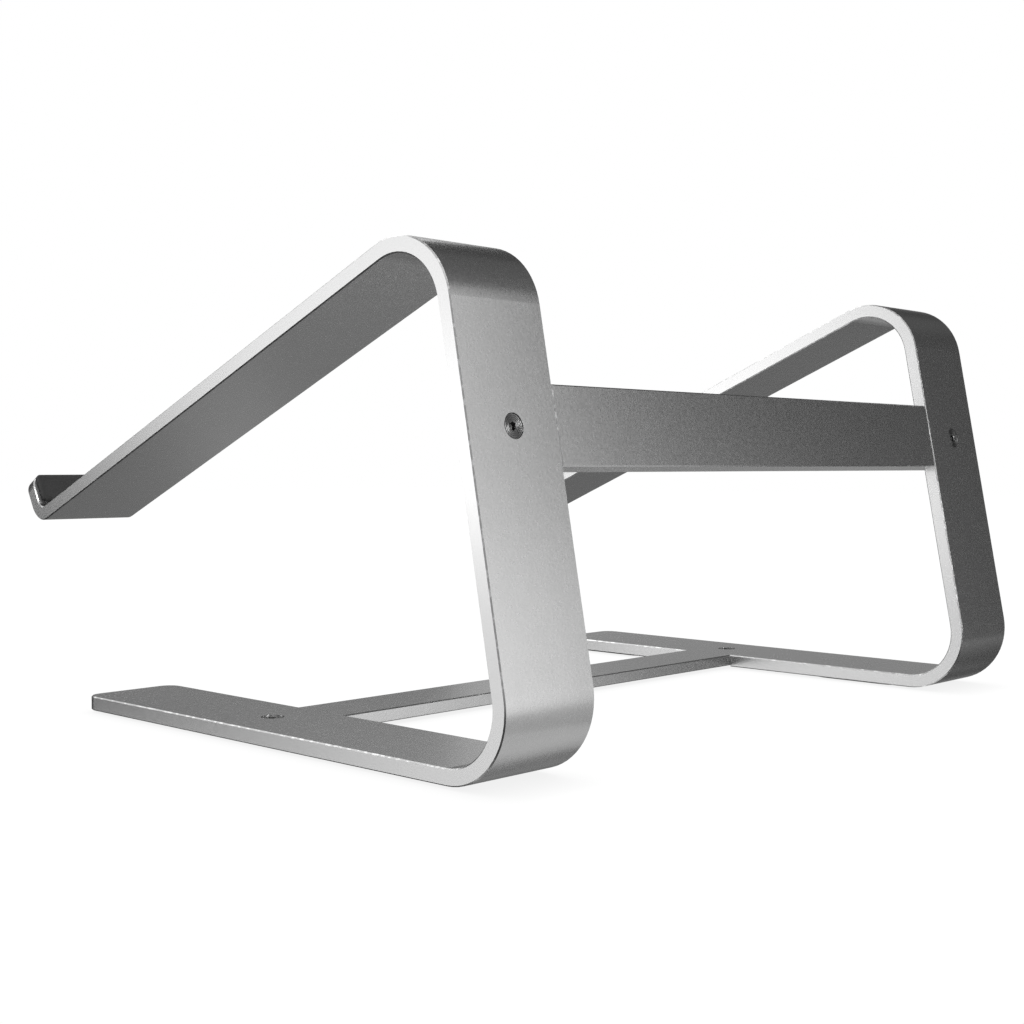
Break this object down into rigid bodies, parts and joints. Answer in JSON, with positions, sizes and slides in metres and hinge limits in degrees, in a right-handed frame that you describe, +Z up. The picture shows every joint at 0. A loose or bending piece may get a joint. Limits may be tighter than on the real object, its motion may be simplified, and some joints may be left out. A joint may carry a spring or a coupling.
{
  "type": "laptop stand",
  "caption": "Open laptop stand: two bent aluminium strip brackets with front lips, joined by a rear cross bar and a flush base cross bar, with rubber pads and feet.",
  "frame": {"origin": "on the desk, under the middle of the stand: centre of the bottom of its bounding box", "axes": "+Z up, +X to the right of a person using the laptop, +Y away from that person, so the lips are at -Y and the rear cross bar at +Y"},
  "size_m": [0.26, 0.2238, 0.1368],
  "materials": {
    "anodised_aluminium": "fine bead-blasted, clear anodised, satin",
    "screw_steel": "turned, machined rings on the head",
    "pad_rubber": "matt moulded",
    "foot_rubber": "matt moulded"
  },
  "bodies": {
    "root": {"right_bracket": "anodised_aluminium", "left_bracket": "anodised_aluminium", "rear_cross_bar": "anodised_aluminium", "base_cross_bar": "anodised_aluminium", "rear_right_screw": "screw_steel", "rear_left_screw": "screw_steel", "base_right_screw": "screw_steel", "base_left_screw": "screw_steel", "right_arm_pad": "pad_rubber", "right_lip_pad": "pad_rubber", "right_front_foot": "foot_rubber", "right_rear_foot": "foot_rubber", "left_arm_pad": "pad_rubber", "left_lip_pad": "pad_rubber", "left_front_foot": "foot_rubber", "left_rear_foot": "foot_rubber"}
  },
  "joints": []
}
